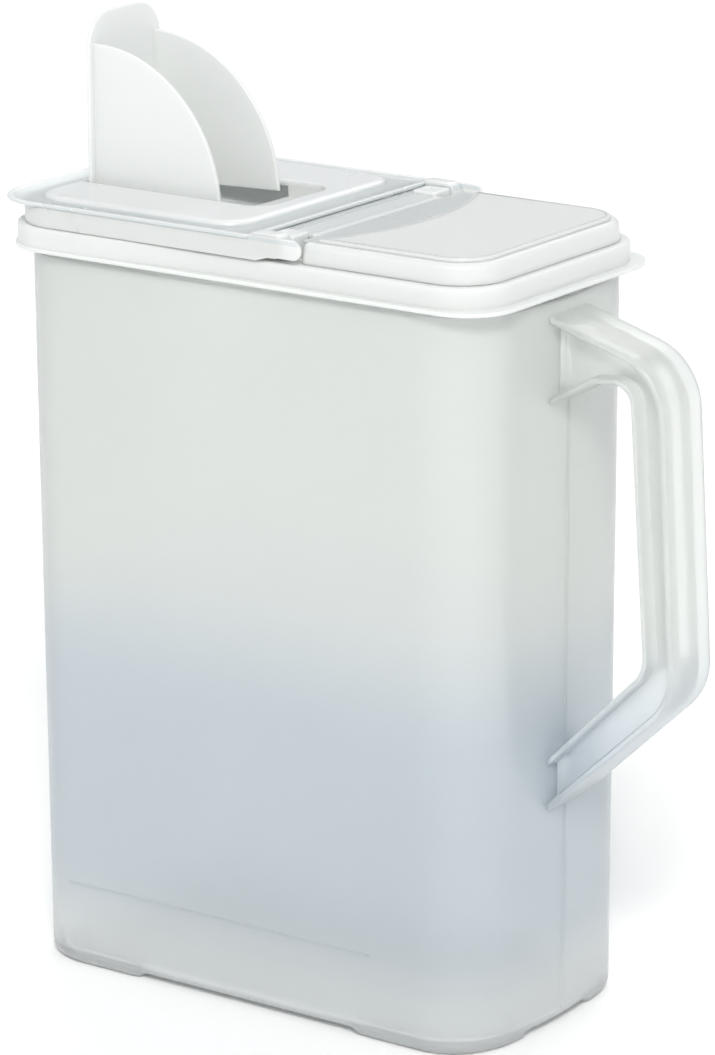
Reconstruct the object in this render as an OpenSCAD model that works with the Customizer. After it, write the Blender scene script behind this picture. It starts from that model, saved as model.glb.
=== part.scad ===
// Cereal dispenser: a tall translucent storage container with a carrying handle,
// a press-on lid, a flip-up filling lid at the pouring end and a swing-up pouring spout.
// The origin is on the surface the dispenser stands on, under the middle of its whole
// outline, handle included. +X points to the handle, -X to the pouring end, +Z up.
// Sizes are in millimetres, and the ones along X are measured from the container's middle.

/* [Container] */
// Distance from the container's middle to the pouring end
body_left = 100.8; // [96:0.1:102]
// Distance from the container's middle to the corners of the handle end
body_right = 100.8; // [96:0.1:102]
// How far the handle end bows outwards in its middle
body_bow = 3.2; // [1:0.1:4]
// Half of the container's width
body_half_w = 54; // [50:0.5:54]
// Radius of the upright corners
body_corner = 24; // [18:1:28]
// Height of the shoulder where the neck begins
shoulder_z = 268; // [240:1:268]
// Thickness of the container's walls
wall = 1.8; // [1.2:0.1:2.4]
// Height of the four corner feet
foot_h = 2; // [1.5:0.5:4]
// Width of the rounded lower edge
base_edge = 4; // [2:0.5:6]
// Distance from the container's middle to the middle of the whole outline
outline_middle = 23.55; // [22:0.05:25]

/* [Handle] */
// Width of the handle's two straps
strap_w = 25.5; // [20:0.5:26]
// Thickness of the outer strap
outer_strap_t = 2.4; // [1.6:0.1:3]
// Thickness of the inner strap
inner_strap_t = 2.0; // [1.6:0.1:3]
// Width of the core between the two straps
core_w = 12; // [6:0.5:18]

/* [Lid] */
// Height of the underside of the brim
brim_z = 270; // [270:0.1:271]
// Thickness of the brim
brim_t = 1.5; // [1:0.1:2]
// Height of the shoulder round the lid
tier_z = 279; // [279:0.1:279.5]
// Height of the fixed cover's edge
cover_z = 286.4; // [285:0.1:287]
// Height of the raised panel on the fixed cover
cover_pad_z = 288; // [287.5:0.1:289]
// Thickness of the lid's walls and decks
lid_t = 1.7; // [1.2:0.1:1.7]
// Radius of the hollow curve at the hinge side of the raised panel
cover_curve_r = 100; // [90:1:120]
// Distance of the hollow curve's middle from the container's middle
cover_curve_x = 44.5; // [42:0.5:48]

/* [Flip lid] */
// Height of the hinge axis
hinge_z = 284.5; // [284:0.1:285]
// Distance of the hinge axis from the middle
hinge_x = 18.5; // [18:0.1:19]
// Radius of the hinge pins
hinge_pin_r = 1.6; // [1.2:0.1:2]
// Running clearance round the pins
pin_gap = 0.05; // [0.02:0.01:0.1]
// Height of the underside of the flip lid's panel
panel_z = 286.4; // [286:0.1:286.6]
// Thickness of the flip lid's panel
panel_t = 1.5; // [1:0.1:2]
// Height of the raised pad above the panel
pad_t = 1; // [0.6:0.1:1.5]
// Half of the flip lid's width
panel_half_w = 57; // [56.8:0.1:57.5]

/* [Spout] */
// Distance of the spout's pivot from the middle, towards the pouring end
pivot_left = 87.5; // [86:0.1:88]
// Height of the spout's pivot
pivot_z = 283.5; // [283:0.1:284]
// Radius of the spout's side cheeks
cheek_r = 55.5; // [50:0.5:56]
// Half of the distance across the cheeks
cheek_half_w = 18.5; // [16:0.5:19]
// Angle of the cheeks' lower edge above the lid
cheek_rise = 2; // [1:1:8]
// Height of the spout's plate and tab above the pivot
plate_h = 66.5; // [60:0.5:68]
// Half of the plate's width
plate_half_w = 21; // [19.5:0.5:21]
// Radius of the tab's corners
tab_r = 13; // [8:1:16]
// Thickness of the spout's plate and cheeks
spout_t = 1.6; // [1.2:0.1:2]
// Radius of the spout's pivot pins
pivot_r = 1.5; // [1.2:0.1:1.8]

/* [Hidden] */

// Colours of the mouldings
frost = [0.86, 0.89, 0.89];
cream = [0.96, 0.96, 0.95];
clear = [0.83, 0.87, 0.88];

// Steps in a quarter of a round corner, in each side of the bow and in the handle's turns
corner_steps = 8;
bow_steps = 3;
outer_steps = 10;
inner_steps = 8;
round_fn = 48;
eps = 0.01;
// How far a cutting shape passes a face
over = 1;

// Container: places worked out from the sizes above
body_end = body_right + body_bow;
bow_flat = strap_w / 2 + 0.5;
foot_inner_x = body_left - 52;
foot_inner_y = body_half_w - 33;
foot_block = 60;
step_h = 1.5;
neck_left = body_left - 0.3;
neck_right = body_right + 0.2;
neck_half_w = body_half_w - 1;
neck_corner = 20;
neck_z = tier_z - lid_t - 0.8;

// Lid
fit_gap = 0.3;
collar_left = neck_left + fit_gap + lid_t;
collar_right = neck_right + fit_gap + lid_t;
collar_half_w = neck_half_w + fit_gap + lid_t;
collar_corner = neck_corner + 1;
brim_left = collar_left + 2;
brim_right = collar_right + 4;
brim_half_w = collar_half_w + 3;
brim_right_corner = 19;
ring_w = 5.5;
deck_left = collar_left - ring_w;
deck_right = collar_right - ring_w;
deck_half_w = collar_half_w - ring_w;
deck_corner = 16;
opening_left = deck_left - 0.8;
opening_right = 2;
opening_half_w = 44;
opening_corners = [12, 8];
cover_left = 27;
cover_right = collar_right - 3.8;
cover_half_w = collar_half_w - 4;
cover_corners = [2.5, 17];
pad_corners = [2, 14];

// Hinge between the lid and the flip lid
bar_x = 22;
bar_w = 4.5;
bar_half_l = 38;
lug_x = 11.5;
lug_w = 10.4;
lug_inner = bar_half_l + 0.2;
lug_top = tier_z + 8.4;
dimple_x = lug_x + 3.5;
dimple_y = lug_inner + lug_w / 2 + 0.1;
dimple_r = 2;
dimple_depth = 0.8;
knuckle_r = 4.2;
knuckle_inner = lug_inner + lug_w + 0.6;
pin_outer = knuckle_inner + 5.4;

// Flip lid
panel_left = 108;
panel_right = 9.5;
panel_corners = [20, 3];
pad_left = 94;
pad_right = -1.5;
pad_half_w = 49;
flip_pad_corners = [14, 12];
skirt_left = 100.5;
skirt_half_w = panel_half_w - 0.5;
skirt_in = collar_half_w + 0.4;
skirt_z = tier_z + 0.6;
skirt_t = 1.6;
skirt_corner = 20;
square_corner = 0.5;
tail_right = hinge_x + 12.3;
tail_r = 3.5;
lip_t = 1.4;
lip_z = tier_z - 3.5;
lip_left = deck_left - 2.2;
lip_right = opening_right - 1.6;
lip_half_w = opening_half_w - 1.5;
lip_corners = [11, 7];

// Spout
slot_left = pivot_left + 3.3;
slot_half_w = plate_half_w + 0.6;
recess_left = 30.5;
recess_right = 10;
recess_floor_z = panel_z - 3.4;
recess_wall = 0.8;
boss_w = 3.7;
boss_r = 3.3;
plate_foot = 1.5;
rod_end_gap = 0.3;

// Corner arc of a rounded rectangle, as points
function corner(cx, cy, r, start) = [
    for (i = [0:corner_steps])
        [cx + r * cos(start + 90 * i / corner_steps), cy + r * sin(start + 90 * i / corner_steps)]
];

// Rounded rectangle from -left to right, half_w to each side, with its own radius at each end
function outline(left, right, half_w, r_left, r_right) = concat(
    corner(right - r_right, half_w - r_right, r_right, 0),
    corner(-left + r_left, half_w - r_left, r_left, 90),
    corner(-left + r_left, -half_w + r_left, r_left, 180),
    corner(right - r_right, -half_w + r_right, r_right, 270)
);

// The bowed handle end, with a flat middle for the handle, from -Y to +Y
function bow(end, depth, half_span) = [
    for (s = [-1, 1], i = [0:bow_steps - 1])
        let (t = (s < 0 ? bow_steps - 1 - i : i) / bow_steps)
        [end - depth * t * t, s * (bow_flat + t * (half_span - bow_flat))]
];

// Outline of the container, drawn in by the given amount
function body_outline(inset) = let (r = body_corner - inset) concat(
    outline(body_left - inset, body_right - inset, body_half_w - inset, r, r),
    bow(body_end - inset, body_bow, body_half_w - body_corner)
);

// Direction and normal of the line from a to b
function dir(a, b) = (b - a) / norm(b - a);
function side(d) = [-d[1], d[0]];

// Where the line from a to b meets the container's wall
function on_wall(a, b) = a + (b - a) * (body_end - a[0]) / (b[0] - a[0]);

// Where the line from a to b, moved sideways by gap, meets the container's wall
function wall_end(a, b, gap) = let (move = gap * side(dir(a, b))) on_wall(a + move, b + move);

// Corner points of a path moved sideways by gap, with both ends kept on the wall
function shifted(path, gap) = let (last = len(path) - 1) concat(
    [wall_end(path[0], path[1], gap)],
    [
        for (i = [1:last - 1])
            let (n = side(dir(path[i - 1], path[i])), m = side(dir(path[i], path[i + 1])))
            path[i] + gap * (n + m) / (1 + n * m)
    ],
    [wall_end(path[last - 1], path[last], gap)]
);

// The path with its inner corners rounded
function rounded(path, radii, turn_steps) = concat([path[0]], [
    for (i = [1:len(path) - 2])
        let (d = dir(path[i - 1], path[i]), e = dir(path[i], path[i + 1]))
        let (turn = asin(d[0] * e[1] - d[1] * e[0]), way = sign(turn), r = radii[i - 1])
        let (start = path[i] - d * r * tan(abs(turn) / 2), centre = start + way * r * side(d))
        for (k = [0:turn_steps])
            let (a = way * abs(turn) * k / turn_steps, v = -way * r * side(d))
            centre + [v[0] * cos(a) - v[1] * sin(a), v[0] * sin(a) + v[1] * cos(a)]
], [path[len(path) - 1]]);

function reversed(list) = [for (i = [len(list) - 1:-1:0]) list[i]];

// Handle paths in the XZ plane, from the upper root to the lower root
outer_path = [[body_end, 263], [149.2, 249.5], [155.7, 133], [body_end, 84]];
outer_radii = [24, 24];
inner_path = [[body_end, 231.5], [121, 241.8], [136.2, 243.2], [142.8, 142.5], [body_end, 103.7]];
inner_radii = [12, 7, 12];
outer_face = rounded(outer_path, outer_radii, outer_steps);
outer_back_radii = outer_radii - [1, 1] * outer_strap_t;
outer_back = rounded(shifted(outer_path, -outer_strap_t), outer_back_radii, outer_steps);
inner_face = rounded(inner_path, inner_radii, inner_steps);
inner_back_radii = inner_radii + [-1, 1, 1] * inner_strap_t;
inner_back = rounded(shifted(inner_path, inner_strap_t), inner_back_radii, inner_steps);

// A flat slab of an outline between two heights
module slab(points, low, high) {
    translate([0, 0, low]) linear_extrude(high - low) polygon(points);
}

// A slab of a rounded rectangle; corners holds its radii at the two ends
module plate(left, right, half_w, corners, low, high) {
    slab(outline(left, right, half_w, corners[0], corners[1]), low, high);
}

// The container's outside or inside, with a rounded lower edge
module tub_form(inset, low, high) {
    bend = base_edge * 0.3;
    hull() {
        slab(body_outline(inset + base_edge), low, low + eps);
        slab(body_outline(inset + bend), low + bend, low + bend + eps);
        slab(body_outline(inset), low + base_edge, high);
    }
}

// A shape in the XZ plane given a width along Y, centred on y
module along_y(y, w) {
    translate([0, y + w / 2, 0]) rotate([90, 0, 0]) linear_extrude(w) children();
}

// A round bar along Y
module rod(x, z, r, from, to) {
    translate([x, from, z]) rotate([-90, 0, 0]) cylinder(r = r, h = to - from, $fn = round_fn);
}

// A block between two corners
module block(low, high) {
    translate(low) cube(high - low);
}

// The same shape on both sides of the middle
module both_sides() {
    children();
    mirror([0, 1, 0]) children();
}

// Puts a part measured from the container's middle into the dispenser's own frame
module placed() {
    translate([-outline_middle, 0, 0]) children();
}

module container_tub() {
    color(frost) difference() {
        tub_form(0, foot_h, shoulder_z);
        tub_form(wall, foot_h + wall, shoulder_z + over);
    }
}

module container_neck() {
    inner_corner = neck_corner - wall;
    color(frost) difference() {
        union() {
            slab(body_outline(0), shoulder_z, shoulder_z + step_h);
            plate(neck_left, neck_right, neck_half_w, [neck_corner, neck_corner],
                shoulder_z + step_h, neck_z);
        }
        plate(neck_left - wall, neck_right - wall, neck_half_w - wall, [inner_corner, inner_corner],
            shoulder_z - over, neck_z + over);
    }
}

module corner_feet() {
    color(frost) intersection() {
        slab(body_outline(base_edge), 0, foot_h);
        for (sx = [-1, 1], sy = [-1, 1])
            translate([sx * (foot_inner_x + foot_block / 2), sy * (foot_inner_y + foot_block / 2), 0])
                cube(foot_block, center = true);
    }
}

module handle_outer_strap() {
    color(frost) along_y(0, strap_w) polygon(concat(outer_face, reversed(outer_back)));
}

module handle_core() {
    color(frost) along_y(0, core_w) polygon(concat(outer_back, reversed(inner_back)));
}

module handle_inner_strap() {
    color(frost) along_y(0, strap_w) polygon(concat(inner_back, reversed(inner_face)));
}

module lid_collar() {
    outer = [collar_corner, collar_corner];
    inner = [collar_corner - 0.7, collar_corner - 0.7];
    color(cream) difference() {
        union() {
            plate(brim_left, brim_right, brim_half_w, [collar_corner, brim_right_corner],
                brim_z, brim_z + brim_t);
            plate(collar_left, collar_right, collar_half_w, outer, brim_z + brim_t, tier_z);
        }
        plate(collar_left - lid_t, collar_right - lid_t, collar_half_w - lid_t, inner,
            brim_z - over, tier_z - lid_t);
        plate(deck_left, deck_right, deck_half_w, [deck_corner, deck_corner], brim_z, tier_z + over);
    }
}

module filling_deck() {
    color(cream) difference() {
        intersection() {
            plate(deck_left, deck_right, deck_half_w, [deck_corner, deck_corner], tier_z - lid_t, tier_z);
            block([-deck_left - over, -deck_half_w - over, tier_z - 2 * lid_t],
                [cover_left + lid_t, deck_half_w + over, tier_z + over]);
        }
        plate(opening_left, opening_right, opening_half_w, opening_corners,
            tier_z - 2 * lid_t, tier_z + over);
    }
}

module cover_edge(inset, low, high) {
    corners = cover_corners - [0, inset];
    plate(-cover_left - inset, cover_right - inset, cover_half_w - inset, corners, low, high);
}

module fixed_cover() {
    color(cream) difference() {
        cover_edge(0, tier_z, cover_z);
        cover_edge(lid_t, tier_z - over, cover_z - lid_t);
    }
}

module fixed_cover_panel() {
    color(cream) difference() {
        plate(-cover_left - 2, cover_right - 3, cover_half_w - 3, pad_corners, cover_z, cover_pad_z);
        translate([cover_curve_x - cover_curve_r, 0, cover_z - over])
            cylinder(r = cover_curve_r, h = cover_pad_z - cover_z + 2 * over, $fn = 180);
    }
}

module hinge_bar() {
    color(cream) block([bar_x, -bar_half_l, tier_z], [bar_x + bar_w, bar_half_l, cover_z]);
}

module hinge_lugs() {
    color(cream) both_sides() difference() {
        block([lug_x, lug_inner, tier_z], [lug_x + lug_w, lug_inner + lug_w, lug_top]);
        rod(hinge_x, hinge_z, hinge_pin_r, lug_inner - over, lug_inner + lug_w + over);
        translate([dimple_x, dimple_y, lug_top - dimple_depth])
            cylinder(r = dimple_r, h = dimple_depth + over, $fn = round_fn);
    }
}

module hinge_pins() {
    color(cream) both_sides() rod(hinge_x, hinge_z, hinge_pin_r, lug_inner, pin_outer);
}

// The long opening that the spout swings through, with the finger recess at its far end
module spout_slot() {
    block([-slot_left, -slot_half_w, panel_z - over],
        [-recess_right, slot_half_w, panel_z + panel_t + pad_t + over]);
}

module flip_lid_panel() {
    color(clear) difference() {
        plate(panel_left, panel_right, panel_half_w, panel_corners, panel_z, panel_z + panel_t);
        spout_slot();
    }
}

module flip_lid_pad() {
    low = panel_z + panel_t;
    color(clear) difference() {
        plate(pad_left, pad_right, pad_half_w, flip_pad_corners, low, low + pad_t);
        spout_slot();
    }
}

module flip_lid_skirt() {
    color(clear) difference() {
        plate(skirt_left, hinge_x, skirt_half_w, [skirt_corner, square_corner], skirt_z, panel_z);
        plate(skirt_left - skirt_t, hinge_x + 9, skirt_in, [skirt_corner - 2, square_corner],
            skirt_z - over, panel_z + over);
    }
}

module flip_lid_seal_lip() {
    color(clear) difference() {
        plate(lip_left, lip_right, lip_half_w, lip_corners, lip_z, panel_z);
        plate(lip_left - lip_t, lip_right - lip_t, lip_half_w - lip_t, lip_corners - [1, 1],
            lip_z - over, panel_z + over);
    }
}

module hinge_knuckles() {
    color(clear) both_sides() difference() {
        union() {
            rod(hinge_x, hinge_z, knuckle_r, knuckle_inner, skirt_in);
            block([panel_right, knuckle_inner, hinge_z - knuckle_r],
                [hinge_x, skirt_in, hinge_z + knuckle_r]);
        }
        rod(hinge_x, hinge_z, hinge_pin_r + pin_gap, knuckle_inner - over, skirt_in + over);
    }
}

// Round-ended ends of the skirt, which swing down outside the collar as the flip lid opens
module hinge_tails() {
    tail_x = tail_right - tail_r;
    low_z = hinge_z - tail_r;
    high_z = hinge_z + tail_r;
    color(clear) both_sides() {
        block([hinge_x, skirt_in, low_z], [tail_x, skirt_half_w, high_z]);
        block([panel_right, skirt_in, panel_z], [hinge_x, skirt_half_w, high_z]);
        difference() {
            rod(tail_x, hinge_z, tail_r, skirt_in, skirt_half_w);
            block([hinge_x, skirt_in - over, low_z], [tail_x, skirt_half_w + over, high_z]);
        }
    }
}

module finger_recess() {
    floor_t = 1.2;
    half_w = slot_half_w - recess_wall;
    top_z = panel_z + panel_t;
    color(cream) difference() {
        block([-recess_left, -slot_half_w, recess_floor_z - floor_t], [-recess_right, slot_half_w, top_z]);
        block([-recess_left - over, -half_w, recess_floor_z], [-recess_right - over, half_w, top_z + over]);
    }
}

module spout_bosses() {
    color(clear) both_sides() difference() {
        block([-pivot_left - boss_r, slot_half_w, pivot_z - boss_r],
            [-pivot_left + boss_r, slot_half_w + boss_w, panel_z]);
        rod(-pivot_left, pivot_z, pivot_r + pin_gap, slot_half_w - over, slot_half_w + boss_w + over);
    }
}

module pivot_cut() {
    rod(-pivot_left, pivot_z, pivot_r, -plate_half_w - over, plate_half_w + over);
}

module spout_plate() {
    color(cream) difference() {
        translate([-pivot_left - spout_t, 0, pivot_z]) rotate([90, 0, 90]) linear_extrude(spout_t) union() {
            translate([-plate_half_w, -plate_foot])
                square([2 * plate_half_w, plate_h + plate_foot - tab_r]);
            translate([-plate_half_w + tab_r, 0]) square([2 * (plate_half_w - tab_r), plate_h]);
            for (s = [-1, 1])
                translate([s * (plate_half_w - tab_r), plate_h - tab_r]) circle(r = tab_r, $fn = 64);
        }
        pivot_cut();
    }
}

// One quarter-round cheek, with its lower edge lifted so that it swings clear of the opening
module cheek(y) {
    far = 2 * cheek_r;
    color(cream) difference() {
        translate([-pivot_left, y + spout_t / 2, pivot_z]) rotate([90, 0, 0]) linear_extrude(spout_t)
            intersection() {
                circle(r = cheek_r, $fn = 128);
                polygon([[0, 0], [far, far * tan(cheek_rise)], [far, far], [0, far]]);
            }
        pivot_cut();
    }
}

module spout_cheek_front() {
    cheek(spout_t / 2 - cheek_half_w);
}

module spout_cheek_back() {
    cheek(cheek_half_w - spout_t / 2);
}

module spout_pivot_rod() {
    reach = slot_half_w + boss_w - rod_end_gap;
    color(cream) rod(-pivot_left, pivot_z, pivot_r, -reach, reach);
}

placed() container_tub();
placed() container_neck();
placed() corner_feet();
placed() handle_outer_strap();
placed() handle_core();
placed() handle_inner_strap();
placed() lid_collar();
placed() filling_deck();
placed() fixed_cover();
placed() fixed_cover_panel();
placed() hinge_bar();
placed() hinge_lugs();
placed() hinge_pins();
placed() flip_lid_panel();
placed() flip_lid_pad();
placed() flip_lid_skirt();
placed() flip_lid_seal_lip();
placed() hinge_knuckles();
placed() hinge_tails();
placed() finger_recess();
placed() spout_bosses();
placed() spout_plate();
placed() spout_cheek_front();
placed() spout_cheek_back();
placed() spout_pivot_rod();
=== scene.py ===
"""Cereal dispenser: the finished look of a translucent container with a handle, a press-on lid,
a flip-up filling lid and a swing-up pouring spout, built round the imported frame."""
import math
from collections import namedtuple

import bmesh
import bpy
from bpy.props import FloatProperty, FloatVectorProperty, PointerProperty
from mathutils import Matrix, Vector


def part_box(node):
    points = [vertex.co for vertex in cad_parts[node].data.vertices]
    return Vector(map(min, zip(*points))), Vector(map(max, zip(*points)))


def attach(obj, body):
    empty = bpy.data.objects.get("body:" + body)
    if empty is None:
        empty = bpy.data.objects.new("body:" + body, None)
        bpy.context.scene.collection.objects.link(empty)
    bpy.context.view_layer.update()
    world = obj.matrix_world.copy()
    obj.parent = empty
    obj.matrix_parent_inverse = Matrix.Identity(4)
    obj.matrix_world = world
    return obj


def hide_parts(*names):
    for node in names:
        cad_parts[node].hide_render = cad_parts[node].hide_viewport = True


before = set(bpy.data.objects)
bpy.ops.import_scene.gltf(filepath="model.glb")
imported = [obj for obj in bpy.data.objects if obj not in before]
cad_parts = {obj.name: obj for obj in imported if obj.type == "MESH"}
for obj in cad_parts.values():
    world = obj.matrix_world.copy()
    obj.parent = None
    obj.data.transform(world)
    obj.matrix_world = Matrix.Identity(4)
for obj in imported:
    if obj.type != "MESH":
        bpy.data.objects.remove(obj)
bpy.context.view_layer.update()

bl_info = {
    "name": "Cereal dispenser",
    "version": (1, 0, 0),
    "blender": (4, 5, 0),
    "location": "View3D > Sidebar > Dispenser",
    "description": "Builds a translucent cereal dispenser with a flip lid and a swing-up spout",
    "category": "Add Mesh",
}

# Sizes that several functions share; lengths are in metres.
BODY_LEFT = 0.1008  # from the container's middle to its pouring end
MIDDLE_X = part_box("container_tub")[0].x + BODY_LEFT
CORNER_STEPS = 14
PLAIN_EDGES = (1, 1, 1, 1)
BODY_EDGES = (64, 26, 64, 26)  # fine enough for the base to rise between the feet
FOOT_INNER_X = 0.0505
FOOT_INNER_Y = 0.0225
FOOT_RAMP = 0.004
FOOT_WIDTH = 0.009
COLLAR_EDGES = (30, 1, 30, 1)
ROUND_STEPS = 4
HOLD = 0.00008  # width of the narrow ring that keeps a flat face's shading flat
COVER_HOLLOW_X = 0.0445
HOLLOW_STEPS = 48
LUG_WIDTH = 0.0104
TAIL_RADIUS = 0.0035
CHEEK_RISE = 2.0  # degrees from level to the cheeks' lower edge
FEET_BLEND_TOP = 0.022
HANDLE_BEND_RADIUS = 0.024
SEAM = 0.0002  # how far touching pieces reach into each other
SMOOTH_ANGLE = math.radians(32)
LID_RADII = {  # corner radii at the pouring end and at the handle end
    "lid_collar": (0.021, 0.019),
    "fixed_cover": (0.0028, 0.017),
    "flip_lid_panel": (0.020, 0.003),
    "flip_lid_pad": (0.014, 0.012),
    "flip_lid_seal_lip": (0.011, 0.007),
}

FROST = "frosted_polypropylene"
WHITE = "white_polypropylene"
CLEAR = "clear_polypropylene"

Corner = namedtuple("Corner", "x y z")


def box(node):
    """The low and the high corner of a CAD node, with x measured from the container's middle."""
    return [Corner(corner.x - MIDDLE_X, corner.y, corner.z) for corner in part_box(node)]


def length(name, value, text, low=0.0, high=1.0):
    """A length in metres that a user may change."""
    return FloatProperty(name=name, description=text, default=value, min=low, max=high, unit="LENGTH", precision=5)


def colour(name, value, text):
    """A colour that a user may change."""
    return FloatVectorProperty(name=name, description=text, default=value, size=3, min=0.0, max=1.0, subtype="COLOR")


def factor(name, value, text, low=0.0, high=1.0):
    """A plain number that a user may change."""
    return FloatProperty(name=name, description=text, default=value, min=low, max=high)


class ContainerSettings(bpy.types.PropertyGroup):
    """Sizes of the container and its handle."""
    corner_radius: length("Corner radius", 0.024, "Radius of the upright corners")
    bow: length("Bow", 0.0032, "How far the handle end bows outwards in its middle")
    bow_half_width: length("Bow half width", 0.044, "Half of the width over which the handle end bows")
    draft: length("Draft", 0.001, "How much narrower each side is at the base")
    wall: length("Wall", 0.0018, "Thickness of the walls")
    base_round: length("Base rounding", 0.005, "Radius of the rounded lower edge")
    neck_inset: length("Neck inset", 0.001, "How far the neck steps in from the walls")
    neck_radius: length("Neck radius", 0.020, "Radius of the neck's corners")
    line_height: length("Line height", 0.0325, "Height of the fine moulded line on the front")
    strap_round: length("Strap rounding", 0.0009, "Rounding of the handle straps' edges")


class LidSettings(bpy.types.PropertyGroup):
    """Sizes of the lid base and the flip lid."""
    wall: length("Wall", 0.0017, "Thickness of the lid's walls")
    shoulder_round: length("Shoulder rounding", 0.0012, "Rounding of the collar's shoulder")
    cover_round: length("Cover rounding", 0.0022, "Rounding of the fixed cover's top edge")
    curve_radius: length("Hinge-side curve", 0.100, "Radius of the hollow curve of the raised panel", high=2.0)
    bead_width: length("Bead width", 0.0011, "Width of the bead round the raised panel")
    rim_round: length("Rim rounding", 0.0007, "Rounding of the flip lid's rim")
    channel_depth: length("Channel depth", 0.0008, "Depth of the channel between the flip lid's rim and its pad")
    pad_round: length("Pad rounding", 0.0030, "Width of the rounded shoulder of the flip lid's pad")


class SpoutSettings(bpy.types.PropertyGroup):
    """Sizes of the spout."""
    tab_radius: length("Tab radius", 0.013, "Radius of the tab's corners")
    edge_round: length("Edge rounding", 0.0005, "Rounding of the spout's edges")


class FinishSettings(bpy.types.PropertyGroup):
    """Colours of the three mouldings."""
    frost: colour("Frosted", (0.97, 0.99, 0.97), "Colour of the container and the handle")
    # Painted shadow: the container's own shadow on the floor behind it, seen through its walls, painted on its lower
    # half.
    frost_painted_shadow: colour("Frosted, painted shadow", (0.83, 0.885, 0.93), "Painted shadow that makes the container's lower half darker and bluer")
    # Painted light: makes the container lighter round its base.
    frost_painted_light: colour("Frosted, painted light", (0.97, 0.995, 1.0), "Painted light that makes the container lighter round its base")
    white: colour("White", (0.72, 0.735, 0.725), "Colour of the lid base and the spout")
    clear: colour("Clear", (0.94, 0.96, 0.965), "Colour of the flip lid's pad")
    # Painted shade: greys the flip lid's thin rim edge and channel.
    clear_painted_shade: colour("Clear, painted shade", (0.75, 0.80, 0.81), "Painted shade that greys the flip lid where it is thinnest")
    clear_side: colour("Clear, sides", (0.93, 0.965, 0.935), "Colour of the flip lid's sides")


class StageSettings(bpy.types.PropertyGroup):
    """Camera and light."""
    azimuth: FloatProperty(name="Azimuth", description="Direction of the camera round the object",
                           default=math.radians(35.29), subtype="ANGLE")
    elevation: FloatProperty(name="Elevation", description="Height of the camera above the horizon",
                             default=math.radians(15.98), subtype="ANGLE")
    roll: FloatProperty(name="Roll", description="Tilt of the camera", default=math.radians(-0.27), subtype="ANGLE")
    place: FloatVectorProperty(name="Camera place", description="Where the camera stands",
                               default=(0.9762, -1.3591, 0.6476), size=3, subtype="TRANSLATION", unit="LENGTH")
    lens: factor("Lens", 164.67, "Focal length of the camera in millimetres", 20.0, 400.0)
    sky: factor("Sky", 0.67, "Brightness of the white surroundings", 0.0, 50.0)
    key: factor("Key light", 2.05, "Strength of the soft light from the front", 0.0, 50.0)
    back: factor("Back light", 0.45, "Strength of the softer light from behind", 0.0, 50.0)


# ---------------------------------------------------------------- outlines

def rounded_rect(left, right, half_w, r_left, r_right, edge_steps=PLAIN_EDGES):
    """A rounded rectangle, anticlockwise, from -left to right; edge_steps divides its straight edges."""
    corners = (
        (right - r_right, half_w - r_right, r_right, 0),
        (-left + r_left, half_w - r_left, r_left, 90),
        (-left + r_left, r_left - half_w, r_left, 180),
        (right - r_right, r_right - half_w, r_right, 270),
    )
    arcs = [arc(cx, cy, r, start, start + 90, CORNER_STEPS) for cx, cy, r, start in corners]
    points = []
    for i, steps in enumerate(edge_steps):
        points += arcs[i]
        a, b = arcs[i][-1], arcs[(i + 1) % 4][0]
        points += [(a[0] + (b[0] - a[0]) * k / steps, a[1] + (b[1] - a[1]) * k / steps) for k in range(1, steps)]
    return points


def smooth(t):
    """Rises smoothly from 0 to 1 while t does."""
    t = min(max(t, 0.0), 1.0)
    return t * t * (3 - 2 * t)


def arc(cx, cy, r, start, end, steps):
    """Points of a round arc, in degrees."""
    angles = [math.radians(start + (end - start) * i / steps) for i in range(steps + 1)]
    return [(cx + r * math.cos(a), cy + r * math.sin(a)) for a in angles]


def quarter_turn(steps):
    """Angles from 0 to a quarter turn."""
    return [math.pi / 2 * i / steps for i in range(steps + 1)]


def fall(r, a):
    """What is left of a rounded edge at angle a, from its radius r down to 0."""
    return r * (1 - math.sin(a))


def swing(r, a):
    """How far a rounded edge has curved away at angle a, from 0 up to its radius r."""
    return r * (1 - math.cos(a))


def circle(cx, cy, r, steps=32):
    """Points of a full circle, anticlockwise."""
    return arc(cx, cy, r, 0, 360, steps)[:-1]


def box_loop(x0, x1, y0, y1, r):
    """A rectangle with equally rounded corners, anticlockwise."""
    return (arc(x1 - r, y1 - r, r, 0, 90, 6) + arc(x0 + r, y1 - r, r, 90, 180, 6)
            + arc(x0 + r, y0 + r, r, 180, 270, 6) + arc(x1 - r, y0 + r, r, 270, 360, 6))


def rounded_path(path, radii, steps=14):
    """A path of corner points with its inner corners rounded."""
    points = [tuple(path[0])]
    for i, r in enumerate(radii, start=1):
        before, at, after = (Vector(p) for p in path[i - 1:i + 2])
        d, e = (at - before).normalized(), (after - at).normalized()
        turn = math.atan2(d.x * e.y - d.y * e.x, d.dot(e))
        side = Vector((-d.y, d.x)) * math.copysign(1, turn)
        start = at - d * r * math.tan(abs(turn) / 2)
        centre = start + side * r
        for k in range(steps + 1):
            a = turn * k / steps
            v = -side * r
            points.append((centre.x + v.x * math.cos(a) - v.y * math.sin(a),
                           centre.y + v.x * math.sin(a) + v.y * math.cos(a)))
    return points + [tuple(path[-1])]


def shifted_path(path, gap, end_x):
    """A path of corner points moved sideways by gap, with both ends kept at end_x."""
    points = [Vector(p) for p in path]
    sides = []
    for a, b in zip(points, points[1:]):
        d = (b - a).normalized()
        sides.append(Vector((-d.y, d.x)))
    moved = []
    for i, p in enumerate(points):
        if 0 < i < len(points) - 1:
            n, m = sides[i - 1], sides[i]
            moved.append(p + gap * (n + m) / (1 + n.dot(m)))
    for i, j, side in ((0, 1, sides[0]), (-1, -2, sides[-1])):
        a, b = points[i] + gap * side, points[j] + gap * side
        end = a + (b - a) * (end_x - a.x) / (b.x - a.x)
        moved.insert(0, end) if i == 0 else moved.append(end)
    return [tuple(p) for p in moved]


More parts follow.
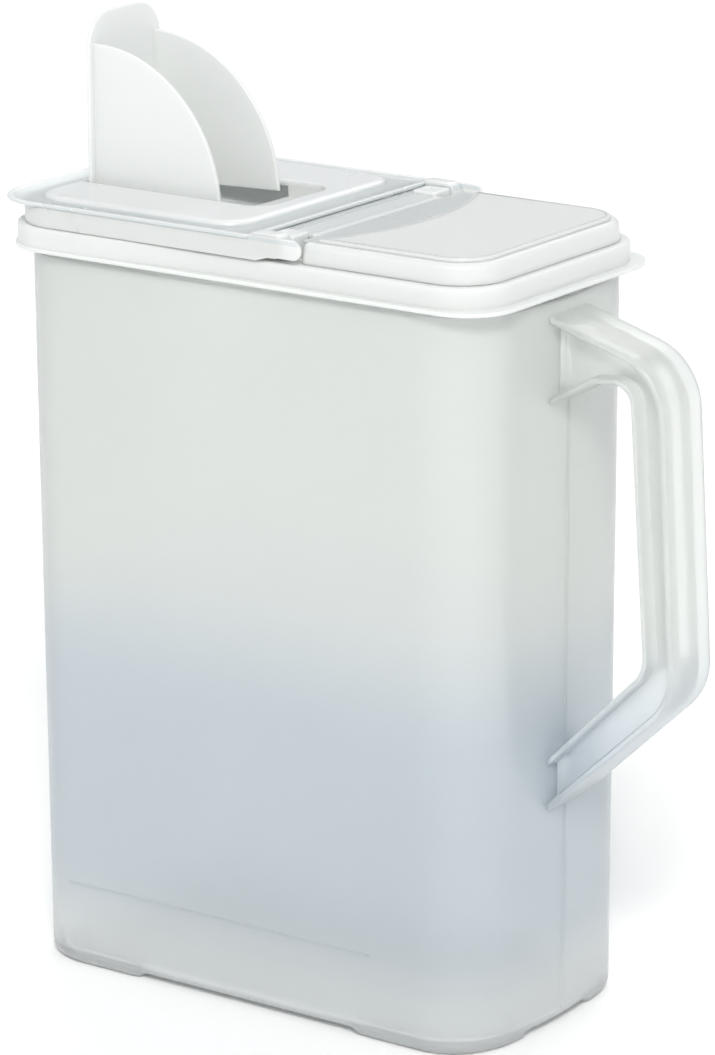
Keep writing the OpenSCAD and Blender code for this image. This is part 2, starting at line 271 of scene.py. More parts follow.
def inset_loop(loop, amount):
    """A closed anticlockwise loop drawn in by amount; a clockwise loop grows."""
    points = []
    count = len(loop)
    for i in range(count):
        before, at, after = Vector(loop[i - 1]), Vector(loop[i]), Vector(loop[(i + 1) % count])
        d, e = (at - before).normalized(), (after - at).normalized()
        n, m = Vector((-d.y, d.x)), Vector((-e.y, e.x))
        points.append(at + amount * (n + m) / max(1 + n.dot(m), 0.4))
    return [tuple(p) for p in points]


# ---------------------------------------------------------------- meshes

def flat(u, v, w):
    """A plate that lies flat: its outline is in XY and its thickness along Z."""
    return (u, v, w)


def upright_along_y(u, v, w):
    """A plate whose outline is in XZ and whose thickness is along Y."""
    return (u, w, v)


def upright_along_x(u, v, w):
    """A plate whose outline is in YZ and whose thickness is along X."""
    return (w, u, v)


def link_object(name, data):
    """Puts data into the scene as an object at the origin."""
    obj = bpy.data.objects.new(name, data)
    bpy.context.scene.collection.objects.link(obj)
    return obj


def shade(mesh):
    """Shades a mesh smooth, with its corners kept sharp."""
    mesh.shade_smooth()
    mesh.set_sharp_from_angle(angle=SMOOTH_ANGLE)


def make_object(name, bm):
    """Turns a bmesh, measured from the container's middle, into a linked object in the row frame."""
    bmesh.ops.remove_doubles(bm, verts=bm.verts, dist=1e-7)
    bmesh.ops.recalc_face_normals(bm, faces=bm.faces)
    bmesh.ops.translate(bm, verts=bm.verts, vec=(MIDDLE_X, 0, 0))
    mesh = bpy.data.meshes.new(name)
    bm.to_mesh(mesh)
    bm.free()
    shade(mesh)
    return link_object(name, mesh)


def skin(bm, rings, closed=False):
    """Joins rings of equal length with quads and returns their vertices."""
    rows = [[bm.verts.new(p) for p in ring] for ring in rings]
    pairs = list(zip(rows, rows[1:]))
    if closed:
        pairs.append((rows[-1], rows[0]))
    for low, high in pairs:
        for i in range(len(low)):
            j = (i + 1) % len(low)
            bm.faces.new((low[i], low[j], high[j], high[i]))
    return rows


def loft(name, rings, closed=False):
    """A solid through rings; unless it closes on itself, its two ends are capped."""
    bm = bmesh.new()
    rows = skin(bm, rings, closed)
    if not closed:
        bm.faces.new(rows[0][::-1])
        bm.faces.new(rows[-1])
    return make_object(name, bm)


def edge_profile(low, high, rounding, steps=ROUND_STEPS):
    """(inset, height) pairs up a plate's edge, rounded at the bottom and at the top."""
    turn = quarter_turn(steps)
    bottom = [(fall(rounding, a), low + swing(rounding, a)) for a in turn]
    top = [(swing(rounding, a), high - fall(rounding, a)) for a in turn]
    flat_start = rounding + HOLD
    return [(flat_start, low)] + bottom + top + [(flat_start, high)]


def fill_between(bm, rows):
    """A flat face inside the first row and outside the others."""
    edges = [bm.edges.get((row[i - 1], row[i])) for row in rows for i in range(len(row))]
    bmesh.ops.triangle_fill(bm, use_beauty=True, use_dissolve=False, edges=edges)


def add_pierced(bm, outside, holes=()):
    """Adds a solid whose outside and holes are lists of rings that run from its low face to its high face."""
    skins = [skin(bm, rings) for rings in (outside, *holes)]
    fill_between(bm, [rows[0] for rows in skins])
    fill_between(bm, [rows[-1] for rows in skins])


def rings_of(loop, profile, place=flat):
    """Rings of one outline drawn in and raised as a profile says."""
    return [[place(u, v, w) for u, v in inset_loop(loop, inset)] for inset, w in profile]


def add_plate(bm, loops, low, high, rounding, place=flat):
    """Adds a plate with rounded edges: the first outline is the outside and the rest are holes."""
    profile = edge_profile(low, high, rounding)
    rings = [rings_of(loop if n == 0 else loop[::-1], profile, place) for n, loop in enumerate(loops)]
    add_pierced(bm, rings[0], rings[1:])


def plates(name, items, place=flat):
    """Several plates as one object; each item is (loops, low, high, rounding)."""
    bm = bmesh.new()
    for loops, low, high, rounding in items:
        add_plate(bm, loops, low, high, rounding, place)
    return make_object(name, bm)


def plate(name, loops, low, high, rounding, place=flat):
    """One plate with rounded edges, as an object."""
    return plates(name, [(loops, low, high, rounding)], place)


def side_plates(name, loops, inner, outer, rounding):
    """Two upright plates as one object, mirrored on either side of the middle."""
    pair = [(loops, inner, outer, rounding), (loops, -outer, -inner, rounding)]
    return plates(name, pair, upright_along_y)


def fuse(name, parts):
    """Joins overlapping solids into one."""
    body = parts[0]
    for other in parts[1:]:
        modifier = body.modifiers.new("fuse", "BOOLEAN")
        modifier.operation = "UNION"
        modifier.solver = "EXACT"
        modifier.object = other
    bpy.context.view_layer.update()
    graph = bpy.context.evaluated_depsgraph_get()
    mesh = bpy.data.meshes.new_from_object(body.evaluated_get(graph))
    mesh.name = name
    for part in parts:
        bpy.data.objects.remove(part)
    shade(mesh)
    return link_object(name, mesh)


def finish_piece(obj, body, slot, replaced=()):
    """Gives a piece its material, its body and the CAD nodes it stands for."""
    obj.data.materials.clear()
    obj.data.materials.append(bpy.data.materials[slot])
    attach(obj, body)
    if replaced:
        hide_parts(*replaced)
    return obj


# ---------------------------------------------------------------- geometry nodes

def bead_tree():
    """Node tree that sweeps a fine round bead along the edges it is given."""
    name = "moulded bead"
    if name in bpy.data.node_groups:
        return bpy.data.node_groups[name]
    tree = bpy.data.node_groups.new(name, "GeometryNodeTree")
    tree.interface.new_socket("Path", in_out="INPUT", socket_type="NodeSocketGeometry")
    for label, kind in (("Radius", "Float"), ("Sides", "Int"), ("Material", "Material")):
        tree.interface.new_socket(label, in_out="INPUT", socket_type="NodeSocket" + kind)
    tree.interface.new_socket("Bead", in_out="OUTPUT", socket_type="NodeSocketGeometry")
    nodes, links = tree.nodes, tree.links
    start, end = nodes.new("NodeGroupInput"), nodes.new("NodeGroupOutput")
    curve = nodes.new("GeometryNodeMeshToCurve")
    profile = nodes.new("GeometryNodeCurvePrimitiveCircle")
    sweep = nodes.new("GeometryNodeCurveToMesh")
    soften = nodes.new("GeometryNodeSetShadeSmooth")
    real = nodes.new("GeometryNodeRealizeInstances")
    paint = nodes.new("GeometryNodeSetMaterial")
    sweep.inputs["Fill Caps"].default_value = True
    for source, output, target, socket in (
            (start, "Path", curve, "Mesh"), (start, "Radius", profile, "Radius"),
            (start, "Sides", profile, "Resolution"), (curve, "Curve", sweep, "Curve"),
            (profile, "Curve", sweep, "Profile Curve"), (sweep, "Mesh", soften, "Geometry"),
            (soften, "Geometry", real, "Geometry"), (real, "Geometry", paint, "Geometry"),
            (start, "Material", paint, "Material"), (paint, "Geometry", end, "Bead")):
        links.new(source.outputs[output], target.inputs[socket])
    return tree


def bead(name, paths, radius, slot, closed=False):
    """Fine round beads along paths, as one plain mesh."""
    mesh = bpy.data.meshes.new(name + "_path")
    points, edges = [], []
    for path in paths:
        first = len(points)
        points += [(x + MIDDLE_X, y, z) for x, y, z in path]
        edges += [(first + i, first + i + 1) for i in range(len(path) - 1)]
        if closed:
            edges.append((len(points) - 1, first))
    mesh.from_pydata(points, edges, [])
    guide = link_object(name + "_path", mesh)
    modifier = guide.modifiers.new("bead", "NODES")
    modifier.node_group = bead_tree()
    values = {"Radius": radius, "Sides": 8, "Material": bpy.data.materials[slot]}
    for item in modifier.node_group.interface.items_tree:
        if item.in_out == "INPUT" and item.name in values:
            modifier[item.identifier] = values[item.name]
    graph = bpy.context.evaluated_depsgraph_get()
    result = bpy.data.meshes.new_from_object(guide.evaluated_get(graph))
    bpy.data.objects.remove(guide)
    return link_object(name, result)


# ---------------------------------------------------------------- finishes

def add_node(nodes, kind, **values):
    """A shader node with values on its sockets; an underscore stands for the space in a socket's name."""
    node = nodes.new(kind)
    for socket, value in values.items():
        node.inputs[socket.replace("_", " ")].default_value = value
    return node


def shader(name, transmission, roughness, tone, speckle):
    """A plastic with a fine moulded surface; returns its material and its place, colour and shader nodes."""
    material = bpy.data.materials.get(name) or bpy.data.materials.new(name)
    material.use_nodes = True
    nodes, links = material.node_tree.nodes, material.node_tree.links
    nodes.clear()
    out = nodes.new("ShaderNodeOutputMaterial")
    bsdf = add_node(nodes, "ShaderNodeBsdfPrincipled", Transmission_Weight=transmission, IOR=1.49,
                    Coat_Weight=0.25, Coat_Roughness=0.14)
    place = nodes.new("ShaderNodeTexCoord")
    grain = add_node(nodes, "ShaderNodeTexNoise", Scale=900.0, Detail=3.0)
    waves = add_node(nodes, "ShaderNodeTexNoise", Scale=22.0, Detail=2.0)
    rough = add_node(nodes, "ShaderNodeMapRange", To_Min=roughness - speckle, To_Max=roughness + speckle)
    ripple = add_node(nodes, "ShaderNodeBump", Strength=0.04, Distance=0.002)
    bump = add_node(nodes, "ShaderNodeBump", Strength=0.10, Distance=0.0001)
    tint = add_node(nodes, "ShaderNodeMapRange", To_Min=0.97, To_Max=1.0)
    cloud_and_painted_light = nodes.new("ShaderNodeMix")
    cloud_and_painted_light.data_type = "RGBA"
    cloud_and_painted_light.blend_type = "MULTIPLY"
    cloud_and_painted_light.inputs["Factor"].default_value = 1.0
    cloud_and_painted_light.inputs["A"].default_value = (*tone, 1.0)
    for source, output, target, socket in (
            (place, "Object", grain, "Vector"), (place, "Object", waves, "Vector"),
            (waves, "Fac", rough, "Value"), (rough, "Result", bsdf, "Roughness"),
            (waves, "Fac", ripple, "Height"), (grain, "Fac", bump, "Height"),
            (ripple, "Normal", bump, "Normal"), (bump, "Normal", bsdf, "Normal"),
            (waves, "Fac", tint, "Value"), (tint, "Result", cloud_and_painted_light, "B"),
            (cloud_and_painted_light, "Result", bsdf, "Base Color"), (bsdf, "BSDF", out, "Surface")):
        links.new(source.outputs[output], target.inputs[socket])
    return material, place, cloud_and_painted_light, bsdf


def paint_light_by_height(material, place, cloud_and_painted_light, stops):
    """Paints light and shade on a finish by height; stops are (height, colour) pairs from low to high."""
    nodes, links = material.node_tree.nodes, material.node_tree.links
    low, high = stops[0][0], stops[-1][0]
    split = nodes.new("ShaderNodeSeparateXYZ")
    span = add_node(nodes, "ShaderNodeMapRange", From_Min=low, From_Max=high)
    ramp = nodes.new("ShaderNodeValToRGB")
    ramp.color_ramp.interpolation = "EASE"
    elements = ramp.color_ramp.elements
    while len(elements) < len(stops):
        elements.new(0.5)
    for element, (at, tone) in zip(elements, stops):
        element.position = (at - low) / (high - low)
        element.color = (*tone, 1.0)
    links.new(place.outputs["Object"], split.inputs["Vector"])
    links.new(split.outputs["Z"], span.inputs["Value"])
    links.new(span.outputs["Result"], ramp.inputs["Fac"])
    # Painted light and shade from the ramp take the place of the finish's plain tone.
    links.new(ramp.outputs["Color"], cloud_and_painted_light.inputs["A"])


def frosted_polypropylene(finish):
    """Milky natural polypropylene, with painted shadow making its lower half darker and bluer and painted light
    making it lighter round the base.
    """
    material, place, cloud_and_painted_light, _ = shader(FROST, 0.68, 0.33, finish.frost, 0.03)
    # The stops paint the container's shadow, seen through its walls, on its lower half and paint light round its
    # base.
    paint_light_by_height(material, place, cloud_and_painted_light, ((0.0, finish.frost_painted_light), (0.014, finish.frost_painted_light),
                                         (0.042, finish.frost_painted_shadow), (0.108, finish.frost_painted_shadow),
                                         (0.162, finish.frost)))


def see_into(bsdf):
    """Lets light through a thin milky wall."""
    for socket, value in (("Weight", 0.6), ("Radius", (1.0, 1.0, 1.0)), ("Scale", 0.005)):
        bsdf.inputs["Subsurface " + socket].default_value = value


def white_polypropylene(finish):
    """Opaque white polypropylene with a satin gloss."""
    _, _, _, bsdf = shader(WHITE, 0.0, 0.36, finish.white, 0.04)
    see_into(bsdf)


def clear_polypropylene(finish):
    """Clearer translucent polypropylene with a satin gloss, with painted shade making it greyer where the flip lid is
    thinnest.
    """
    material, place, cloud_and_painted_light, bsdf = shader(CLEAR, 0.20, 0.28, finish.clear, 0.03)
    see_into(bsdf)
    # The stops paint shade on the flip lid's thin rim edge and channel.
    paint_light_by_height(material, place, cloud_and_painted_light, ((0.2858, finish.clear_side), (0.2864, finish.clear_painted_shade),
                                         (0.2874, finish.clear_painted_shade), (0.2879, finish.clear)))


# ---------------------------------------------------------------- container

def container_ring(sizes, inset, z, lift_share=0.0):
    """One level of the container's wall: drawn in, bowed at the handle end and lifted between the feet."""
    tub = box("container_tub")[1]
    narrow = inset + sizes.draft * (1 - min(z / tub.z, 1.0))
    radius = max(sizes.corner_radius - inset, 0.004)
    ring = []
    side = BODY_LEFT - narrow
    for x, y in rounded_rect(side, side, tub.y - narrow, radius, radius, BODY_EDGES):
        if x > 0:
            x += sizes.bow * max(1 - (y / sizes.bow_half_width) ** 2, 0.0) ** 2
        ring.append((x, y, z + lift_share * foot_lift(x, y)))
    return ring


def foot_lift(x, y):
    """How far the base is lifted at a point: nothing at the corner feet, the feet's height between them."""
    low, high = box("corner_feet")
    along = smooth((FOOT_INNER_X - abs(x)) / FOOT_RAMP)
    across = smooth((FOOT_INNER_Y - abs(y)) / FOOT_RAMP)
    return (high.z - low.z) * max(along, across)


def neck_ring(sizes, inset, z):
    """One level of the neck that the lid presses on to."""
    left = BODY_LEFT - sizes.neck_inset - inset
    half_w = box("container_neck")[1].y - sizes.neck_inset - inset
    radius = sizes.neck_radius - inset
    return [(x, y, z) for x, y in rounded_rect(left, left, half_w, radius, radius, BODY_EDGES)]


class DISPENSER_OT_container(bpy.types.Operator):
    """Build the container: feet, walls, shoulder and neck in one moulding"""
    bl_idname = "dispenser.container"
    bl_label = "Container"

    def execute(self, context):
        sizes = context.scene.dispenser_container
        wall, bend = sizes.wall, sizes.base_round
        foot_h, shoulder, neck_top = (box(node)[1].z for node in ("corner_feet", "container_tub", "container_neck"))
        foot, floor_z, turn = bend + FOOT_WIDTH, foot_h + wall, quarter_turn(6)
        climb = [(shoulder - FEET_BLEND_TOP - 0.002) * k / 12 for k in range(1, 13)]
        outside = [(foot + 0.004, foot_h), (foot + 0.001, foot_h), (foot, 0.0004, 1.0 - 0.0004 / foot_h),
                   (foot - 0.0006, 0.0, 1.0)]
        outside += [(fall(bend, a), swing(bend, a), 1.0) for a in turn]
        outside += [(0, 0.007, 0.6), (0, 0.011, 0.15), (0, FEET_BLEND_TOP)]
        outside += [(0, FEET_BLEND_TOP + rise) for rise in climb]
        outside += [(0, shoulder), (0.0006, shoulder + 0.0006)]
        neck = [(0, shoulder + 0.0012), (0, neck_top - 0.0006), (0.0004, neck_top), (wall - 0.0004, neck_top),
                (wall, neck_top - 0.0006), (wall, shoulder + 0.0006)]
        inside = [(wall, shoulder - 0.001)] + [(wall, shoulder - rise) for rise in climb]
        inside += [(wall + swing(bend, a), floor_z + fall(bend, a)) for a in turn]
        rings = [container_ring(sizes, *step) for step in outside] + [neck_ring(sizes, *step) for step in neck]
        rings += [container_ring(sizes, *step) for step in inside]
        shell = loft("container_shell", rings)
        finish_piece(shell, "container", FROST, ("container_tub", "container_neck", "corner_feet"))
        return {"FINISHED"}


class DISPENSER_OT_moulded_lines(bpy.types.Operator):
    """Build the fine moulded line on the front and the parting line down the handle end"""
    bl_idname = "dispenser.moulded_lines"
    bl_label = "Moulded lines"

    def execute(self, context):
        sizes = context.scene.dispenser_container
        end, half_w, shoulder = box("container_tub")[1]
        z = sizes.line_height
        inset = sizes.draft * (1 - z / shoulder)
        front = [(x, -half_w + inset, z) for x in (-0.079, -0.034, 0.011, 0.056)]
        heights = [0.006 + (shoulder - 0.010) * k / 10 for k in range(11)]
        seams = [[(end - sizes.draft * (1 - height / shoulder), y, height) for height in heights]
                 for y in (-0.0007, 0.0007)]
        for name, paths, radius in (("front_line", [front], 0.0004), ("parting_line", seams, 0.00022)):
            finish_piece(bead(name, paths, radius, FROST), "container", FROST)
        return {"FINISHED"}


# ---------------------------------------------------------------- handle

def handle_paths():
    """The handle's four faces in the XZ plane, each from its upper root to its lower root."""
    end = box("container_tub")[1].x
    outer_t, inner_t = 0.0024, 0.002
    outer = [(end, 0.263), (0.1492, 0.2495), (0.15565, 0.133), (end, 0.084)]
    inner = [(end, 0.2315), (0.121, 0.2418), (0.1362, 0.2432), (0.1428, 0.1425), (end, 0.1037)]
    outer_back = shifted_path(outer, -outer_t, end)
    inner_back = shifted_path(inner, inner_t, end)
    return (
        rounded_path(outer, (HANDLE_BEND_RADIUS,) * 2),
        rounded_path(outer_back, (HANDLE_BEND_RADIUS - outer_t,) * 2),
        rounded_path(inner_back, (0.012 - inner_t, 0.007 + inner_t, 0.012 + inner_t)),
        rounded_path(inner, (0.012, 0.007, 0.012)),
    )


def halfway(first, second):
    """The path halfway between two paths of equal length."""
    return [((a[0] + b[0]) / 2, (a[1] + b[1]) / 2) for a, b in zip(first, second)]


def between(first, second):
    """The closed, anticlockwise outline between two faces of the handle."""
    loop = list(first) + list(second)[::-1]
    area = sum(a[0] * b[1] - b[0] * a[1] for a, b in zip(loop, loop[1:] + loop[:1]))
    return loop if area > 0 else loop[::-1]


class DISPENSER_OT_handle(bpy.types.Operator):
    """Build the carrying handle: two straps joined by a narrower core"""
    bl_idname = "dispenser.handle"
    bl_label = "Handle"

    def execute(self, context):
        sizes = context.scene.dispenser_container
        outer, outer_back, inner_back, inner = handle_paths()
        strap, core = box("handle_outer_strap")[1].y, box("handle_core")[1].y
        middle, inside = halfway(outer, outer_back), halfway(inner, inner_back)
        bands = ((outer, outer_back, strap, sizes.strap_round), (middle, inside, core, 0.0003),
                 (inner_back, inner, strap, sizes.strap_round))
        parts = [plate("band", [between(a, b)], -half_w, half_w, rounding, upright_along_y)
                 for a, b, half_w, rounding in bands]
        handle = fuse("carrying_handle", parts)
        finish_piece(handle, "container", FROST, ("handle_outer_strap", "handle_core", "handle_inner_strap"))
        return {"FINISHED"}


# ---------------------------------------------------------------- lid base

def level(outline, z):
    """An outline set at one height."""
    return [(x, y, z) for x, y in outline]


def lid_ring(node, inset, z, edge_steps=PLAIN_EDGES):
    """One level of a lid node's rounded outline, drawn in by inset."""
    low, high = box(node)
    left_r, right_r = (max(r - inset, 0.0005) for r in LID_RADII[node])
    return level(rounded_rect(-low.x - inset, high.x - inset, high.y - inset, left_r, right_r, edge_steps), z)


def collar_ring(inset, z):
    """One level of the collar's wall, inside its brim, drawn in by inset; it widens towards the pouring end."""
    low, high = box("lid_collar")
    left, right, half_w, r = -low.x - 0.0006, high.x - 0.004, high.y - 0.003, 0.0205 - inset
    flare = 0.0021 / half_w
    outline = rounded_rect(left - inset, right - inset, half_w - inset, r, r, COLLAR_EDGES)
    return [(x, y * (1 + flare * smooth((-0.004 - x) / 0.060)), z) for x, y in outline]


def hollow_curve(radius, half_w, gap=0.0):
    """The hollow curve on the raised panel's hinge side, from front to back; gap moves it towards the handle."""
    reach = math.degrees(math.asin(half_w / radius))
    return arc(COVER_HOLLOW_X - radius + gap, 0, radius, -reach, reach, HOLLOW_STEPS)


class DISPENSER_OT_lid_collar(bpy.types.Operator):
    """Build the lid's collar: brim, wall and rounded shoulder"""
    bl_idname = "dispenser.lid_collar"
    bl_label = "Lid collar"

    def execute(self, context):
        sizes = context.scene.dispenser_lid
        low, high = box("lid_collar")
        wall, shoulder, fillet = sizes.wall, sizes.shoulder_round, 0.0003
        brim_top, top, turn = low.z + 0.0015, high.z, quarter_turn(5)
        edge = [(0.0004, 0.0), (0.0001, 0.0003), (0.0001, 0.0012), (0.0002, 0.0015)]
        rings = [lid_ring("lid_collar", inset, low.z + rise, COLLAR_EDGES) for inset, rise in edge]
        rings += [collar_ring(-fall(fillet, a), brim_top + swing(fillet, a)) for a in turn]
        rings += [collar_ring(swing(shoulder, a), top - fall(shoulder, a)) for a in turn]
        rings += [collar_ring(inset, z) for inset, z in (
            (0.0075, top), (0.0075, top - wall), (wall + shoulder * 0.5, top - wall), (wall, top - wall - 0.001),
            (wall, low.z))]
        finish_piece(loft("lid_collar_wall", rings, closed=True), "lid_base", WHITE, ("lid_collar",))
        return {"FINISHED"}


class DISPENSER_OT_filling_deck(bpy.types.Operator):
    """Build the deck inside the collar, with the filling opening through it"""
    bl_idname = "dispenser.filling_deck"
    bl_label = "Filling deck"

    def execute(self, context):
        low, high = box("filling_deck")
        left, cover = -low.x, box("fixed_cover")[0].x
        outside = rounded_rect(left + SEAM, cover + 0.0015, high.y + SEAM, 0.016, 0.0005)
        opening = rounded_rect(left - 0.0008, 0.002, 0.044, 0.012, 0.008)
        sheet = plate("filling_deck_sheet", [outside, opening], low.z, high.z, 0.0004)
        rim = bead("opening_rim", [level(inset_loop(opening, -0.0012), high.z)], 0.0007, WHITE, closed=True)
        finish_piece(sheet, "lid_base", WHITE, ("filling_deck",))
        finish_piece(rim, "lid_base", WHITE)
        return {"FINISHED"}


class DISPENSER_OT_fixed_cover(bpy.types.Operator):
    """Build the fixed cover at the handle end, with its raised panel and bead"""
    bl_idname = "dispenser.fixed_cover"
    bl_label = "Fixed cover"

    def execute(self, context):
        sizes = context.scene.dispenser_lid
        low, high = box("fixed_cover")
        wall, r = sizes.wall, sizes.cover_round
        rings = [lid_ring("fixed_cover", fall(r, a), high.z - swing(r, a)) for a in quarter_turn(6)]
        rings += [lid_ring("fixed_cover", inset, z)
                  for inset, z in ((-0.0006, low.z + SEAM), (wall, low.z), (wall, high.z - wall))]
        finish_piece(loft("fixed_cover_box", rings), "lid_base", WHITE, ("fixed_cover",))

        panel, corner = box("fixed_cover_panel"), 0.014
        right, half_w = panel[1].x - corner, panel[1].y
        outline = (arc(right, half_w - corner, corner, 0, 90, CORNER_STEPS)
                   + hollow_curve(sizes.curve_radius, half_w - SEAM)[::-1]
                   + arc(right, corner - half_w, corner, 270, 360, CORNER_STEPS))
        raised = plate("raised_panel", [outline], panel[0].z - 0.0004, panel[1].z - 0.0003, 0.0007)
        line = bead("raised_panel_bead", [level(inset_loop(outline, sizes.bead_width * 1.4), panel[1].z - 0.0004)],
                    sizes.bead_width * 0.36, WHITE, closed=True)
        finish_piece(raised, "lid_base", WHITE, ("fixed_cover_panel",))
        finish_piece(line, "lid_base", WHITE)
        return {"FINISHED"}


class DISPENSER_OT_hinge_strips(bpy.types.Operator):
    """Build the two thin strips beside the hinge bar, with the fine ribs along the first one"""
    bl_idname = "dispenser.hinge_strips"
    bl_label = "Hinge strips"

    def execute(self, context):
        sizes = context.scene.dispenser_lid
        bar, lugs = box("hinge_bar"), box("hinge_lugs")
        top = box("fixed_cover")[1].z
        start = box("flip_lid_panel")[1].x - 0.0012
        half_w, reach = lugs[1].y - 0.0105, lugs[1].y - SEAM
        notch, end = lugs[0].x - 0.0001, bar[0].x + SEAM
        first = [(end, half_w), (notch, half_w), (notch, reach), (start, reach),
                 (start, -reach), (notch, -reach), (notch, -half_w), (end, -half_w)]
        panel, bar_end = box("fixed_cover_panel")[1].y, bar[1].x - SEAM
        second = hollow_curve(sizes.curve_radius, panel, 0.0006) + [(bar_end, panel), (bar_end, -panel)]
        strips = [([first], top - 0.0016, top - 0.0002, 0.0003), ([second], top - 0.0004, top + 0.0003, 0.0002)]
        finish_piece(plates("hinge_strip_pair", strips), "lid_base", CLEAR)
        rib_w, rib_z = half_w - 0.001, top - 0.0003
        ribs = [[(start + step, -rib_w, rib_z), (start + step, rib_w, rib_z)] for step in (0.0018, 0.0042)]
        finish_piece(bead("hinge_strip_ribs", ribs, 0.0004, CLEAR), "lid_base", CLEAR)
        return {"FINISHED"}


class DISPENSER_OT_hinge_mount(bpy.types.Operator):
    """Build the lid's side of the hinge: the bar, the dimpled lugs and the pins"""
    bl_idname = "dispenser.hinge_mount"
    bl_label = "Hinge mount"

    def execute(self, context):
        low, high = box("hinge_bar")
        bar = box_loop(low.x, high.x, low.y, high.y, 0.0008)
        finish_piece(plate("hinge_bar_strip", [bar], low.z - SEAM, high.z, 0.0006), "lid_base", WHITE, ("hinge_bar",))

        low, high = box("hinge_lugs")
        y0, y1 = high.y - LUG_WIDTH, high.y
        x, y = low.x + 0.0035, (y0 + y1) / 2 + 0.0001
        bm = bmesh.new()
        for side in (1, -1):
            outline = box_loop(low.x, high.x, min(side * y0, side * y1), max(side * y0, side * y1), 0.0016)
            outer = skin(bm, rings_of(outline, edge_profile(low.z - SEAM, high.z, 0.0008)))
            dimple = skin(bm, [level(circle(x, side * y, r)[::-1], high.z - depth)
                               for r, depth in ((0.0004, 0.0009), (0.0014, 0.0007), (0.0019, 0.0))])
            bm.faces.new(outer[0][::-1])
            bm.faces.new(dimple[0])
            fill_between(bm, [outer[-1], dimple[-1]])
        finish_piece(make_object("dimpled_lugs", bm), "lid_base", WHITE, ("hinge_lugs",))

        low, high = box("hinge_pins")
        pin = circle((low.x + high.x) / 2, (low.z + high.z) / 2, (high.z - low.z) / 2, 40)
        finish_piece(side_plates("hinge_pin_pair", [pin], y0, high.y, 0.0004), "lid_base", WHITE, ("hinge_pins",))
        return {"FINISHED"}


# ---------------------------------------------------------------- flip lid

def slot_outline():
    """The long opening that the spout swings through."""
    recess, pivot = box("finger_recess")[1], box("spout_pivot_rod")
    left = 0.0033 - (pivot[0].x + pivot[1].x) / 2
    return rounded_rect(left, recess.x, recess.y, 0.0006, 0.009)


class DISPENSER_OT_flip_lid(bpy.types.Operator):
    """Build the flip lid's top: panel and raised pad in one, pierced for the spout"""
    bl_idname = "dispenser.flip_lid"
    bl_label = "Flip lid"

    def execute(self, context):
        sizes = context.scene.dispenser_lid
        low, high = box("flip_lid_panel")
        pad_top = box("flip_lid_pad")[1].z
        r, pad_r, turn = sizes.rim_round, sizes.pad_round, quarter_turn(4)
        channel = high.z - sizes.channel_depth
        rim = [(fall(r, a), low.z + swing(r, a)) for a in turn] + [(swing(r, a), high.z - fall(r, a)) for a in turn]
        rim += [(0.0018, high.z), (0.0024, high.z - sizes.channel_depth * 0.4), (0.0034, channel)]
        pad = [(-0.0006, channel), (-0.0001, channel + 0.0004)]
        pad += [(swing(pad_r, a), pad_top - fall(0.0011, a)) for a in turn] + [(pad_r + 0.0002, pad_top)]
        rings = [lid_ring("flip_lid_panel", *step) for step in rim]
        rings += [lid_ring("flip_lid_pad", *step) for step in pad]
        hole = slot_outline()[::-1]
        bm = bmesh.new()
        add_pierced(bm, rings, [rings_of(hole, edge_profile(low.z, pad_top, 0.0005))])
        finish_piece(make_object("flip_lid_top", bm), "flip_lid", CLEAR, ("flip_lid_panel", "flip_lid_pad"))
        return {"FINISHED"}


class DISPENSER_OT_flip_lid_skirt(bpy.types.Operator):
    """Build the skirt under the flip lid's edge, its round-ended tails and the sealing lip"""
    bl_idname = "dispenser.flip_lid_skirt"
    bl_label = "Flip lid skirt"

    def execute(self, context):
        low, high = box("flip_lid_skirt")
        tail_low, tail_high = box("hinge_tails")
        start_x, base = tail_low.x, low.z - 0.0004
        left, half_w, inside = -low.x, high.y, 0.0554
        outer = rounded_rect(left, start_x + 0.03, half_w, 0.020, 0.0005)
        inner = rounded_rect(left - 0.0016, start_x + 0.03, inside, 0.018, 0.0005)
        outer, inner = ([p for p in outline if p[0] < start_x - 0.0001] for outline in (outer, inner))
        loop = ([(start_x, half_w)] + outer + [(start_x, -half_w), (start_x, -inside)] + inner[::-1]
                + [(start_x, inside)])
        skirt = plate("skirt", [loop], base, high.z + SEAM, 0.0004)

        centre = (tail_high.x - TAIL_RADIUS, tail_high.z - TAIL_RADIUS)
        side = ([(start_x - 0.001, base), (0.0115, base), (0.0143, low.z + 0.0004), (0.0166, low.z + 0.0011),
                 (high.x + 0.0006, tail_low.z)]
                + arc(*centre, TAIL_RADIUS, 270, 450, 16) + [(start_x - 0.001, tail_high.z)])
        tails = side_plates("tails", [side], inside, half_w, 0.0003)
        finish_piece(fuse("skirt_with_tails", [skirt, tails]), "flip_lid", CLEAR, ("flip_lid_skirt", "hinge_tails"))

        low, high = box("flip_lid_seal_lip")
        wall, step = 0.0014, 0.0006
        lip = [(0.0003, low.z), (0.0, low.z + step), (0.0, high.z), (wall, high.z), (wall, low.z + step),
               (wall - 0.0003, low.z)]
        rings = [lid_ring("flip_lid_seal_lip", inset, z) for inset, z in lip]
        finish_piece(loft("sealing_lip", rings, closed=True), "flip_lid", CLEAR, ("flip_lid_seal_lip",))
        return {"FINISHED"}


